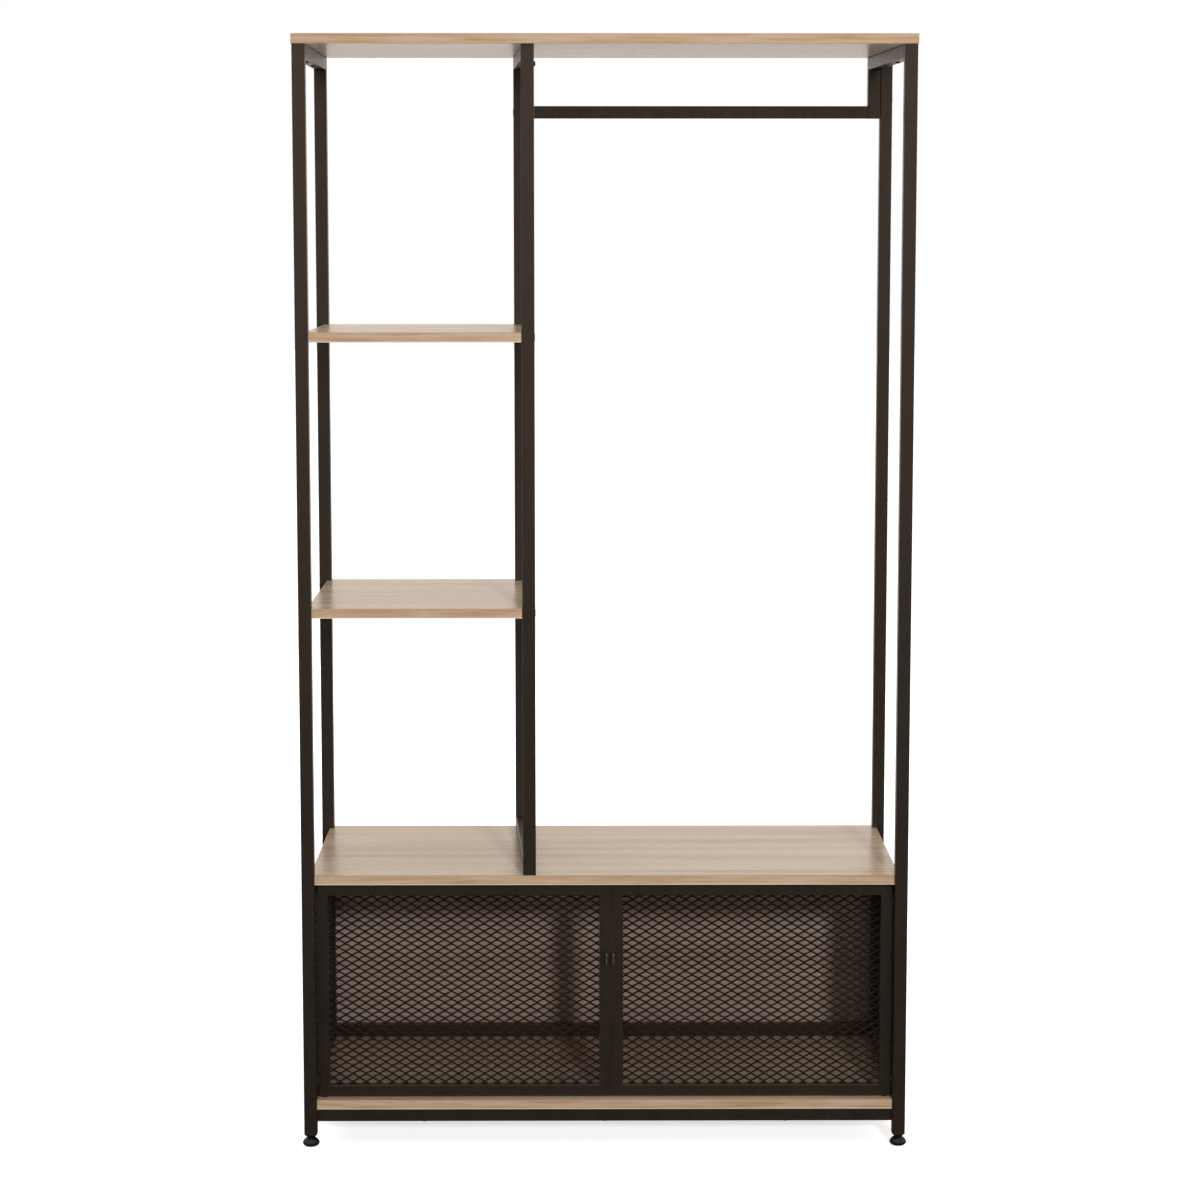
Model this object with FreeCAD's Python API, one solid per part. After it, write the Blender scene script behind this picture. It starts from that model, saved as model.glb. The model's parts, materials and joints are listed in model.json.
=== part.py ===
import FreeCAD, Part
import math
import os

# A clothes rack of square steel tube and laminated boards, with a mesh cabinet under its bench.
# X runs to the right, Y to the back and Z up, in millimetres.
# The origin is on the floor, under the middle of the unit.

# Whole unit
unit_width = 1000.0
unit_depth = 400.0
unit_height = 1826.0
frame_inset = 1.0            # the top board stands this far past the frame on every side
fit_gap = 0.3                # between a board and the tube beside it
overrun = 2.0                # how far a cut starts outside what it cuts

# Square tube of the frame
tube = 21.0
tube_wall = 1.2
tube_corner = 1.8            # outer radius
tube_inner_corner = 0.6

# Boards
board_thickness = 16.0
board_front_inset = 7.0      # behind the front faces of the posts
board_end_lap = 7.5          # past the inner faces of the side posts, between them
edging_thickness = 1.0
edging_corner = 0.5
upper_shelf_top = 1351.0
middle_shelf_top = 902.0
bench_top = 459.0
bottom_board_top = 79.0

# Under the bottom board and the bench
front_rail_inset = 8.0       # behind the front faces of the posts
seat_strip_thickness = 3.0
seat_strip_height = 20.0
side_mesh_top_gap = 5.0      # between the mesh and the bench

# Divider between the shelves and the hanging space
left_bay_width = 343.5       # between the left side frame and the divider
notch_gap = 0.5

# Hanging bar and drop leg
bar_drop = 83.0              # from the underside of the top board to the top of the bar

# Cabinet back
panel_thickness = 3.0
panel_edge_margin = 3.0      # inside the outline of the frame and the two boards

# Doors
door_side_gap = 1.5
door_back_step = 0.5         # behind the back faces of the front posts
door_top_gap = 3.0
door_bottom_gap = 2.0
meeting_offset = 10.8        # the meeting line is this far right of the middle
meeting_gap = 1.2
door_tube_width = 19.0
door_tube_depth = 12.0
door_tube_wall = 1.0
door_tube_corner = 1.2
door_tube_inner_corner = 0.4

# Mesh
mesh_thickness = 1.6
mesh_strand = 3.2
mesh_cell_width = 46.0
mesh_cell_height = 28.0
mesh_border = 4.0
mesh_lap = 6.0               # how far a door mesh lies on the back of the door tubes

# Door pivots
pivot_diameter = 5.0
pivot_fit = 0.05             # radial clearance in the bush
pivot_in_bush = 6.0
pivot_in_tube = 5.0
pivot_head_diameter = 9.0
pivot_head_thickness = 1.5
bush_diameter = 8.0
bush_length = 8.0
bush_flange_diameter = 11.0
bush_flange_thickness = 1.7

# Door pulls
pull_height_above_floor = 316.0
left_pull_from_edge = 7.3     # from the meeting edge of the left door to the tab's middle
right_pull_from_edge = 2.9
pull_base_width = 7.5
pull_base_height = 26.0
pull_base_thickness = 1.2
pull_tab_height = 20.0
pull_tab_thickness = 2.4
pull_tab_reach = 13.0
pull_tab_round = 3.0

# Magnetic catch and the plates on the doors
strike_width = 16.0
strike_height = 10.0
strike_thickness = 1.0
strike_from_edge = 3.0
strike_from_top = 1.5
catch_width = 44.0
catch_depth = 14.0
catch_height = 15.0
catch_corner = 1.5
catch_gap = 0.3

# Levelling feet and the plugs that hold them
foot_height = 21.0
pad_diameter = 28.0
pad_rim_height = 3.0
pad_height = 7.0
pad_top_diameter = 17.0
neck_across_flats = 11.0
neck_height = 6.0
stud_diameter = 8.0
stud_length = 34.0           # from the top of the pad
stud_fit = 0.05
plug_flange = 2.0
plug_length = 22.0
plug_fit = 0.05
plug_flange_chamfer = 1.0

# Bolts through the posts, and the threaded inserts that they turn into
bolt_diameter = 6.0
post_bolt_length = 12.0
foot_bolt_length = 30.0
bolt_head_diameter = 10.0
bolt_head_height = 3.0
bolt_head_round = 1.4
bolt_socket_across_flats = 4.0
bolt_socket_depth = 1.8
bolt_hole_clearance = 0.2    # radial, in the tube walls
front_bolt_distance = 7.5    # from the front edge of a board
back_bolt_distance = 9.0     # from the back edge of a board
access_clearance = 0.2       # radial, round a bolt head that goes in through the outer wall
cap_overlap = 1.0            # how far a cap reaches past its access hole
cap_thickness = 0.6
cap_stub = 3.0
cap_fit = 0.05
insert_diameter = 8.4
insert_length = 12.0
insert_hole_spare = 3.0
insert_fit = 0.05
rail_plug_length = 12.0
drop_leg_bolt_spacing = 60.0
divider_foot_bolt_offset = 115.0   # either side of the middle of the depth

# Wood screws under the rails
screw_diameter = 4.0
screw_length = 32.0
screw_head_diameter = 8.0
screw_head_height = 2.4
screw_head_round = 1.0
screw_fit = 0.05
top_screw_offset = 57.0      # either side of the middle of the depth
front_rail_screw_offset = 300.0

# Screw at the top of the divider's front post, and the plug that holds it
joint_screw_drop = 31.0      # from the underside of the top board
joint_screw_length = 14.0
joint_plug_length = 45.0

# Screws of the back panel
panel_screw_diameter = 3.0
panel_screw_length = 12.0
panel_screw_head_diameter = 6.0
panel_screw_head_height = 1.6
panel_screw_spacing = 300.0

# Places worked out from the sizes above
outer_x = unit_width / 2 - frame_inset
outer_y = unit_depth / 2 - frame_inset
inner_x = outer_x - tube
inner_y = outer_y - tube
under_top = unit_height - board_thickness
post_foot = foot_height + plug_flange
board_front_y = -outer_y + board_front_inset
board_back_y = outer_y
front_bolt_y = board_front_y + front_bolt_distance
back_bolt_y = board_back_y - back_bolt_distance
board_end_x = inner_x - fit_gap
board_lap_x = inner_x + board_end_lap
under_bench = bench_top - board_thickness
under_bottom_board = bottom_board_top - board_thickness
divider_x = -inner_x + left_bay_width
divider_front_back_y = board_front_y + tube
# The drop leg stands inside the right rear post, so the divider's rear post and the right
# top rail are set over to the left by one tube at the back.
divider_back_x = divider_x - tube
drop_leg_x = inner_x - tube
bar_top = under_top - bar_drop
bar_bottom = bar_top - tube
seat_rail_bottom = under_bench - tube
front_rail_y = -outer_y + front_rail_inset
front_rail_bottom = under_bottom_board - tube
side_mesh_x = board_lap_x - seat_strip_thickness - mesh_thickness
door_front_y = -outer_y + tube + door_back_step
door_back_y = door_front_y + door_tube_depth
door_bottom = bottom_board_top + door_bottom_gap
door_top = under_bench - door_top_gap
left_door_x = -inner_x + door_side_gap
right_door_x = inner_x - door_side_gap
left_door_edge = meeting_offset - meeting_gap / 2
right_door_edge = meeting_offset + meeting_gap / 2
pivot_y = door_front_y + door_tube_depth / 2
pivot_inset = door_tube_width / 2

X = FreeCAD.Vector(1, 0, 0)
Y = FreeCAD.Vector(0, 1, 0)
Z = FreeCAD.Vector(0, 0, 1)


def at(x, y, z):
    return FreeCAD.Vector(x, y, z)


def block(low, high):
    """A box from its lowest to its highest corner."""
    size = high - low
    return Part.makeBox(size.x, size.y, size.z, low)


def joined(solids):
    """Separate solids kept together as one group."""
    return Part.makeCompound(solids)


def rounded_outline(corner, along_u, along_v, width, height, radius):
    """A rectangle with four round corners, as a closed wire in the plane of two directions."""
    def spot(u, v):
        return corner + along_u * u + along_v * v

    near = radius * (1 - math.sqrt(0.5))
    edges = []
    turns = (
        (0, 0, 1, 1),
        (width, 0, -1, 1),
        (width, height, -1, -1),
        (0, height, 1, -1),
    )
    ends = []
    for index, (u, v, to_u, to_v) in enumerate(turns):
        on_side = spot(u, v + to_v * radius)
        on_base = spot(u + to_u * radius, v)
        middle = spot(u + to_u * near, v + to_v * near)
        first, last = (on_side, on_base) if index % 2 == 0 else (on_base, on_side)
        edges.append(Part.Arc(first, middle, last).toShape())
        ends.append((first, last))
    sides = [
        Part.makeLine(ends[index][1], ends[(index + 1) % len(turns)][0])
        for index in range(len(turns))
    ]
    chain = []
    for arc, side in zip(edges, sides):
        chain += [arc, side]
    return Part.Wire(chain)


def hollow(corner, along_u, along_v, run, width, height, wall, radius, inner_radius):
    """A hollow section drawn at a corner and carried along a straight run."""
    outer = rounded_outline(corner, along_u, along_v, width, height, radius)
    inside = corner + along_u * wall + along_v * wall
    bore = rounded_outline(
        inside, along_u, along_v, width - 2 * wall, height - 2 * wall, inner_radius
    )
    solid = Part.Face(outer).extrude(run)
    return solid.cut(Part.Face(bore).extrude(run))


def frame_tube(corner, along_u, along_v, run):
    return hollow(
        corner, along_u, along_v, run, tube, tube, tube_wall, tube_corner, tube_inner_corner
    )


def upright(x, y, bottom, top):
    """A post, from its left front corner."""
    return frame_tube(at(x, y, bottom), X, Y, Z * (top - bottom))


def depth_rail(front_x, back_x, front_y, back_y, bottom):
    """A rail from front to back. Its two ends may stand at different X, cut square to Y."""
    run = at(back_x - front_x, back_y - front_y, 0)
    return frame_tube(at(front_x, front_y, bottom), X, Z, run)


def cross_rail(left_x, right_x, front_y, bottom):
    return frame_tube(at(left_x, front_y, bottom), Y, Z, X * (right_x - left_x))


def rod(start, direction, diameter, length):
    return Part.makeCylinder(diameter / 2, length, start, direction)


def hexagon(centre, direction, across_flats, length):
    """A six-sided bar on any of the three axes."""
    side = Z if abs(direction.z) < 0.5 else X
    other = direction.cross(side)
    reach = across_flats / math.sqrt(3)
    corners = []
    for turn in range(6):
        angle = math.radians(60 * turn)
        corners.append(centre + side * (reach * math.cos(angle)) + other * (reach * math.sin(angle)))
    corners.append(corners[0])
    return Part.Face(Part.makePolygon(corners)).extrude(direction * length)


def domed_head(seat, direction, diameter, height, rounding):
    """A round screw head that stands on its seat, away from the screw's direction."""
    radius = diameter / 2
    back = direction * -1
    side = Z if abs(direction.z) < 0.5 else X
    rim = seat + side * radius
    low = rim + back * (height - rounding)
    near = rounding * (1 - math.sqrt(0.5))
    middle = low + back * (rounding - near) - side * near
    top = low + back * rounding - side * rounding
    crown = seat + back * height
    outline = Part.Wire([
        Part.makeLine(seat, rim),
        Part.makeLine(rim, low),
        Part.Arc(low, middle, top).toShape(),
        Part.makeLine(top, crown),
        Part.makeLine(crown, seat),
    ])
    return Part.Face(outline).revolve(seat, direction, 360)


def bolt(seat, direction, length):
    """A button-head bolt with a hexagon socket, from its seat along its direction."""
    head = domed_head(seat, direction, bolt_head_diameter, bolt_head_height, bolt_head_round)
    shank = rod(seat, direction, bolt_diameter, length)
    crown = seat - direction * (bolt_head_height + overrun)
    depth = overrun + bolt_socket_depth
    socket = hexagon(crown, direction, bolt_socket_across_flats, depth)
    return head.fuse(shank).cut(socket).removeSplitter()


def insert(start, direction):
    """A threaded insert, shown as a plain sleeve."""
    sleeve = rod(start, direction, insert_diameter, insert_length)
    bore = rod(start, direction, bolt_diameter + 2 * insert_fit, insert_length)
    return sleeve.cut(bore)


def hole_cap(face, direction):
    """A flat cap that closes the access hole of a bolt."""
    across = bolt_head_diameter + 2 * access_clearance
    flange = rod(face, direction * -1, across + 2 * cap_overlap, cap_thickness)
    stub = rod(face, direction, across - 2 * cap_fit, cap_stub)
    return flange.fuse(stub).removeSplitter()


def screw(seat, direction, length):
    head = domed_head(seat, direction, screw_head_diameter, screw_head_height, screw_head_round)
    shank = rod(seat, direction, screw_diameter, length)
    return head.fuse(shank).removeSplitter()


def countersunk(seat, direction, extra):
    """A flat-headed screw, larger all round by the extra amount when it is used as a cutter."""
    big = panel_screw_head_diameter / 2 + extra
    small = panel_screw_diameter / 2 + extra
    cone = Part.makeCone(big, small, panel_screw_head_height, seat, direction)
    shank = rod(seat, direction, 2 * small, panel_screw_length)
    return cone.fuse(shank).removeSplitter()


# Bolts: each place gives a point on the outer face of a tube, and the bolt's direction.
# The bolt goes in through the outer wall, seats on the inner wall, and turns into the piece
# beyond it.

shelf_levels = (upper_shelf_top, middle_shelf_top)


def shelf_bolt_places():
    places = []
    for level in shelf_levels:
        height = level - board_thickness / 2
        places.append((at(-outer_x, front_bolt_y, height), X))
        places.append((at(-outer_x, back_bolt_y, height), X))
        places.append((at(divider_x + tube, front_bolt_y, height), X * -1))
        places.append((at(divider_back_x + tube, back_bolt_y, height), X * -1))
    return places


def full_board_bolt_places():
    places = []
    for level in (bench_top, bottom_board_top):
        height = level - board_thickness / 2
        for along_y in (front_bolt_y, back_bolt_y):
            places.append((at(-outer_x, along_y, height), X))
            places.append((at(outer_x, along_y, height), X * -1))
    return places


def rail_ends():
    """The plugged ends of the cross rails and of the hanging bar.

    Each gives the seat of its bolt, the bolt's direction and the depth of the rail's middle.
    """
    ends = []
    back_middle = inner_y + tube / 2
    rails = (
        (front_bolt_y, front_rail_y + tube / 2, front_rail_bottom + tube / 2),
        (back_middle, back_middle, bottom_board_top + tube / 2),
        (back_middle, back_middle, seat_rail_bottom + tube / 2),
    )
    for bolt_y, middle, height in rails:
        ends.append((at(-outer_x, bolt_y, height), X, middle))
        ends.append((at(outer_x, bolt_y, height), X * -1, middle))
    bar_seat = at(divider_back_x, back_middle, bar_bottom + tube / 2)
    ends.append((bar_seat, X, back_middle))
    return ends


def rail_bolt_places():
    return [(seat, direction) for seat, direction, middle in rail_ends()]


def drop_leg_bolt_places():
    middle = (under_top + bar_top) / 2
    along_y = inner_y + tube / 2
    low = middle - drop_leg_bolt_spacing / 2
    high = middle + drop_leg_bolt_spacing / 2
    return [(at(outer_x, along_y, height), X * -1) for height in (low, high)]


def divider_foot_bolt_places():
    places = []
    for along_y in (-divider_foot_bolt_offset, divider_foot_bolt_offset):
        places.append((at(divider_rail_middle(along_y), along_y, under_bench), Z))
    return places


def divider_rail_middle(along_y):
    """Where the set-over rails of the divider stand at a given depth."""
    share = (along_y - divider_front_back_y) / (inner_y - divider_front_back_y)
    return divider_x + (divider_back_x - divider_x) * share + tube / 2


def right_rail_middle(along_y):
    share = (along_y + inner_y) / (2 * inner_y)
    return inner_x + (drop_leg_x - inner_x) * share + tube / 2


def bolt_holes(places):
    """For each bolt, an access hole in the outer wall and a clearance hole in the inner one."""
    small = bolt_diameter + 2 * bolt_hole_clearance
    large = bolt_head_diameter + 2 * access_clearance
    holes = []
    for face, direction in places:
        start = face - direction * overrun
        holes.append(rod(start, direction, small, tube + 2 * overrun))
        holes.append(rod(start, direction, large, tube / 2 + overrun))
    return holes


def joint_screw_place():
    """On the right side of the divider's front post, just under the top board."""
    return at(divider_x + tube, board_front_y + tube / 2, under_top - joint_screw_drop), X * -1


def joint_screw_hole():
    seat, direction = joint_screw_place()
    return rod(seat - direction * overrun, direction, screw_diameter + 2 * screw_fit,
               overrun + joint_screw_length)


def insert_places():
    """Each insert starts where its bolt leaves the tube."""
    places = []
    for seat, direction in shelf_bolt_places() + full_board_bolt_places():
        places.append((seat + direction * (tube + fit_gap), direction))
    for seat, direction in drop_leg_bolt_places():
        places.append((seat + direction * tube, direction))
    for seat, direction in divider_foot_bolt_places():
        places.append((seat + direction * board_thickness, direction))
    return places


def insert_pockets():
    depth = insert_length + insert_hole_spare
    return [rod(start, direction, insert_diameter, depth) for start, direction in insert_places()]


# Screws: three depth rails carry the top board, and the front rail carries the bottom board.

def top_screw_places():
    places = []
    seat = under_top - tube
    for along_y in (-top_screw_offset, top_screw_offset):
        places.append((at(-outer_x + tube / 2, along_y, seat), Z))
        places.append((at(divider_rail_middle(along_y), along_y, seat), Z))
        places.append((at(right_rail_middle(along_y), along_y, seat), Z))
    return places


def front_rail_screw_places():
    along_y = front_rail_y + tube / 2
    return [
        (at(along_x, along_y, front_rail_bottom), Z)
        for along_x in (-front_rail_screw_offset, 0, front_rail_screw_offset)
    ]


def screw_holes(places):
    diameter = screw_diameter + 2 * screw_fit
    return [
        rod(seat - direction * overrun, direction, diameter, screw_length + overrun)
        for seat, direction in places
    ]


def panel_screw_places():
    places = []
    seat_y = outer_y + panel_thickness
    for height in (bottom_board_top + tube / 2, seat_rail_bottom + tube / 2):
        for along_x in (-panel_screw_spacing, 0, panel_screw_spacing):
            places.append((at(along_x, seat_y, height), Y * -1))
    middle = (bottom_board_top + under_bench) / 2
    for along_x in (-outer_x + tube / 2, outer_x - tube / 2):
        places.append((at(along_x, seat_y, middle), Y * -1))
    return places


def panel_screw_cutters():
    return [countersunk(seat, direction, screw_fit) for seat, direction in panel_screw_places()]


# Frame

def posts():
    post_holes = bolt_holes(
        shelf_bolt_places() + full_board_bolt_places() + rail_bolt_places() + drop_leg_bolt_places()
    )
    cutters = post_holes + panel_screw_cutters() + [joint_screw_hole()]
    outer = {
        "left_front_post": upright(-outer_x, -outer_y, post_foot, under_top),
        "left_rear_post": upright(-outer_x, inner_y, post_foot, under_top),
        "right_front_post": upright(inner_x, -outer_y, post_foot, under_top),
        "right_rear_post": upright(inner_x, inner_y, post_foot, under_top),
        "divider_front_post": upright(divider_x, board_front_y, bench_top, under_top),
        "divider_rear_post": upright(divider_back_x, inner_y, bench_top, under_top),
    }
    return {name: cut_where_met(shape, cutters) for name, shape in outer.items()}


def cut_where_met(shape, cutters):
    """Cuts a piece only with the cutters that reach its box."""
    near = [one for one in cutters if one.BoundBox.intersect(shape.BoundBox)]
    return shape.cut(near) if near else shape


def top_rails():
    cutters = screw_holes(top_screw_places())
    level = under_top - tube
    rails = {
        "left_top_rail": depth_rail(-outer_x, -outer_x, -inner_y, inner_y, level),
        "right_top_rail": depth_rail(inner_x, drop_leg_x, -inner_y, inner_y, level),
        "divider_top_rail": depth_rail(
            divider_x, divider_back_x, divider_front_back_y, inner_y, level
        ),
    }
    return {name: cut_where_met(shape, cutters) for name, shape in rails.items()}


def lower_rails():
    cutters = (
        screw_holes(front_rail_screw_places()) + insert_pockets() + panel_screw_cutters()
    )
    rails = {
        "divider_bottom_rail": depth_rail(
            divider_x, divider_back_x, divider_front_back_y, inner_y, bench_top
        ),
        "left_bottom_rail": depth_rail(
            -outer_x, -outer_x, -inner_y, inner_y, bottom_board_top
        ),
        "right_bottom_rail": depth_rail(
            inner_x, inner_x, -inner_y, inner_y, bottom_board_top
        ),
        "front_bottom_rail": cross_rail(-inner_x, inner_x, front_rail_y, front_rail_bottom),
        "rear_bottom_rail": cross_rail(-inner_x, inner_x, inner_y, bottom_board_top),
        "rear_seat_rail": cross_rail(-inner_x, inner_x, inner_y, seat_rail_bottom),
    }
    return {name: cut_where_met(shape, cutters) for name, shape in rails.items()}


def seat_strip(side_x):
    """A flat strip between the posts that one end of the bench lies on."""
    far = side_x * board_lap_x
    near = far - side_x * seat_strip_thickness
    low = under_bench - seat_strip_height
    return block(at(min(near, far), -inner_y, low), at(max(near, far), inner_y, under_bench))


def hanging_bar():
    """The bar runs from the divider's rear post to the drop leg inside the right rear post."""
    pockets = insert_pockets()
    leg = cut_where_met(upright(drop_leg_x, inner_y, bar_bottom, under_top), pockets)
    bar = cross_rail(divider_back_x + tube, drop_leg_x, inner_y, bar_bottom)
    return {"hanging_bar": bar, "drop_leg": leg}


def rail_end_plugs():
    """Square plugs in the tube ends that the rail bolts turn into."""
    plugs = []
    side = tube - 2 * tube_wall - 2 * plug_fit
    for seat, direction, middle in rail_ends():
        start = seat + direction * tube
        corner = at(start.x, middle - side / 2, start.z - side / 2)
        outline = rounded_outline(corner, Y, Z, side, side, tube_inner_corner)
        plug = Part.Face(outline).extrude(direction * rail_plug_length)
        bore = rod(start, direction, bolt_diameter + 2 * insert_fit, rail_plug_length)
        plugs.append(plug.cut(bore))
    plugs.append(joint_plug(side))
    return joined(plugs)


def joint_plug(side):
    """A plug in the top of the divider's front post."""
    corner = at(divider_x, board_front_y, under_top - joint_plug_length)
    corner = corner + X * ((tube - side) / 2) + Y * ((tube - side) / 2)
    outline = rounded_outline(corner, X, Y, side, side, tube_inner_corner)
    return Part.Face(outline).extrude(Z * joint_plug_length).cut(joint_screw_hole())


# Boards

def notched_board(left, right, top, cutters):
    """A board between the posts, with its notches cut, and the edging all round it."""
    low = top - board_thickness
    core_front = board_front_y + edging_thickness
    core_back = board_back_y - edging_thickness
    core_right = right - edging_thickness
    core = block(at(left + edging_thickness, core_front, low), at(core_right, core_back, top))
    strips = [
        edging_strip(at(left, board_front_y, low), X, Y, right - left),
        edging_strip(at(left, core_back, low), X, Y, right - left),
        edging_strip(at(left, core_front, low), Y, X, core_back - core_front),
        edging_strip(at(core_right, core_front, low), Y, X, core_back - core_front),
    ]
    core = cut_where_met(core, cutters)
    strips = [cut_where_met(strip, cutters) for strip in strips]
    return core, strips


def edging_strip(corner, along, across, length):
    """A thin strip on the edge of a board."""
    outline = rounded_outline(
        corner, across, Z, edging_thickness, board_thickness, edging_corner / 2
    )
    return Part.Face(outline).extrude(along * length)


def corner_notches(low, high, side_x):
    """Clears the two posts of one side frame."""
    inner = board_end_x
    outer = board_lap_x + overrun
    first, last = (inner, outer) if side_x > 0 else (-outer, -inner)
    deep = inner_y - fit_gap
    front = block(
        at(first, board_front_y - overrun, low - overrun), at(last, -deep, high + overrun)
    )
    back = block(at(first, deep, low - overrun), at(last, outer_y + overrun, high + overrun))
    return [front, back]


def divider_notch(low, high):
    """Clears the divider's rear post, which stands over the shelf's rear corner."""
    start = at(divider_back_x - fit_gap, inner_y - notch_gap, low - overrun)
    end = at(divider_x + overrun, outer_y + overrun, high + overrun)
    return block(start, end)


def shelf(top):
    low = top - board_thickness
    cutters = corner_notches(low, top, -1) + [divider_notch(low, top)] + insert_pockets()
    return notched_board(-board_lap_x, divider_x - fit_gap, top, cutters)


def full_board(top, more_cutters):
    low = top - board_thickness
    cutters = corner_notches(low, top, -1) + corner_notches(low, top, 1)
    return notched_board(-board_lap_x, board_lap_x, top, cutters + more_cutters)


def boards():
    upper, upper_strips = shelf(upper_shelf_top)
    middle, middle_strips = shelf(middle_shelf_top)
    foot_holes = [
        rod(seat - direction * overrun, direction, bolt_diameter + 2 * bolt_hole_clearance,
            board_thickness + 2 * overrun)
        for seat, direction in divider_foot_bolt_places()
    ]
    sleeves = [rod(start, direction, bush_diameter, bush_length)
               for start, direction in bush_places()]
    bench, bench_strips = full_board(bench_top, insert_pockets() + foot_holes + sleeves)
    bottom, bottom_strips = full_board(
        bottom_board_top, insert_pockets() + screw_holes(front_rail_screw_places()) + sleeves
    )
    return {
        "upper_shelf": upper,
        "middle_shelf": middle,
        "bench_board": bench,
        "bottom_board": bottom,
        "board_edging": joined(upper_strips + middle_strips + bench_strips + bottom_strips),
    }


def top_board():
    half_x = unit_width / 2
    half_y = unit_depth / 2
    core = block(
        at(-half_x + edging_thickness, -half_y + edging_thickness, under_top),
        at(half_x - edging_thickness, half_y - edging_thickness, unit_height),
    )
    core = cut_where_met(core, screw_holes(top_screw_places()))
    long_run = unit_width
    short_run = unit_depth - 2 * edging_thickness
    inside_y = -half_y + edging_thickness
    strips = [
        edging_strip(at(-half_x, -half_y, under_top), X, Y, long_run),
        edging_strip(at(-half_x, half_y - edging_thickness, under_top), X, Y, long_run),
        edging_strip(at(-half_x, inside_y, under_top), Y, X, short_run),
        edging_strip(at(half_x - edging_thickness, inside_y, under_top), Y, X, short_run),
    ]
    return {"top_board": core, "top_board_edging": joined(strips)}


def back_panel():
    side = outer_x - panel_edge_margin
    panel = block(
        at(-side, outer_y, under_bottom_board + panel_edge_margin),
        at(side, outer_y + panel_thickness, bench_top - panel_edge_margin),
    )
    return cut_where_met(panel, panel_screw_cutters())


# Mesh

def mesh_panel(corner, along_u, along_v, through, width, height):
    """A flat net of diamonds inside a plain border, carried through its thickness."""
    across = math.floor((width - 2 * mesh_border) / mesh_cell_width)
    up = math.floor((height - 2 * mesh_border) / mesh_cell_height)
    cell_u = (width - 2 * mesh_border) / across
    cell_v = (height - 2 * mesh_border) / up
    half_u = cell_u / 2 - mesh_strand
    half_v = cell_v / 2 - mesh_strand / 2

    def spot(u, v):
        return corner + along_u * u + along_v * v

    outline = Part.makePolygon(
        [spot(0, 0), spot(width, 0), spot(width, height), spot(0, height), spot(0, 0)]
    )
    cells = []
    for row in range(2 * up - 1):
        shift = cell_u / 2 if row % 2 == 0 else cell_u
        count = across if row % 2 == 0 else across - 1
        middle_v = mesh_border + cell_v / 2 * (row + 1)
        for column in range(count):
            middle_u = mesh_border + shift + cell_u * column
            cells.append(Part.makePolygon([
                spot(middle_u - half_u, middle_v),
                spot(middle_u, middle_v - half_v),
                spot(middle_u + half_u, middle_v),
                spot(middle_u, middle_v + half_v),
                spot(middle_u - half_u, middle_v),
            ]))
    holed = Part.makeFace([outline] + cells, "Part::FaceMakerBullseye")
    return holed.extrude(through * mesh_thickness)


def side_mesh(side_x):
    """Stands on the side bottom rail, between the posts and against the seat strip."""
    low = bottom_board_top + tube
    corner = at(side_x * side_mesh_x, -inner_y, low)
    height = under_bench - side_mesh_top_gap - low
    return mesh_panel(corner, Y, Z, X * side_x, 2 * inner_y, height)


def door_mesh(left, right):
    """Lies on the back of the door tubes."""
    inset = door_tube_width - mesh_lap
    corner = at(left + inset, door_back_y, door_bottom + inset)
    width = right - left - 2 * inset
    height = door_top - door_bottom - 2 * inset
    return mesh_panel(corner, X, Z, Y, width, height)


# Doors

def door_tube(corner, along_u, along_v, run, width, depth):
    return hollow(
        corner, along_u, along_v, run, width, depth,
        door_tube_wall, door_tube_corner, door_tube_inner_corner,
    )


def mitre_cutter(corner, along_x, along_z):
    """A wedge that leaves a 45 degree end, from the outer corner of the door frame."""
    reach = door_tube_width + overrun
    start = corner - along_x * overrun - along_z * overrun
    front = at(0, -overrun, 0)
    outline = Part.makePolygon([
        start + front,
        start + along_x * (reach + overrun) + along_z * (reach + overrun) + front,
        start + along_z * (reach + overrun) + front,
        start + front,
    ])
    return Part.Face(outline).extrude(Y * (door_tube_depth + 2 * overrun))


def door_member(kind, left, right):
    """One tube of a door frame, with both its ends mitred."""
    corners = {
        "left": at(left, door_front_y, door_bottom),
        "right": at(right - door_tube_width, door_front_y, door_bottom),
        "bottom": at(left, door_front_y, door_bottom),
        "top": at(left, door_front_y, door_top - door_tube_width),
    }
    if kind in ("left", "right"):
        run = Z * (door_top - door_bottom)
        member = door_tube(corners[kind], X, Y, run, door_tube_width, door_tube_depth)
        inward = X if kind == "left" else X * -1
        side = left if kind == "left" else right
        cutters = [
            lying_wedge(at(side, door_front_y, door_bottom), inward, Z),
            lying_wedge(at(side, door_front_y, door_top), inward, Z * -1),
        ]
    else:
        run = X * (right - left)
        member = door_tube(corners[kind], Y, Z, run, door_tube_depth, door_tube_width)
        inward = Z if kind == "bottom" else Z * -1
        level = door_bottom if kind == "bottom" else door_top
        cutters = [
            mitre_cutter(at(left, door_front_y, level), X, inward),
            mitre_cutter(at(right, door_front_y, level), X * -1, inward),
        ]
    return member.cut(cutters)


def lying_wedge(corner, along_x, along_z):
    """The other half of a mitre: what the stile gives up to the rail."""
    return mitre_cutter(corner, along_z, along_x)


def pivot_x(side_x):
    if side_x < 0:
        return left_door_x + pivot_inset
    return right_door_x - pivot_inset


def bush_places():
    places = []
    for side_x in (-1, 1):
        places.append((at(pivot_x(side_x), pivot_y, under_bench), Z))
        places.append((at(pivot_x(side_x), pivot_y, bottom_board_top), Z * -1))
    return places


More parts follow.
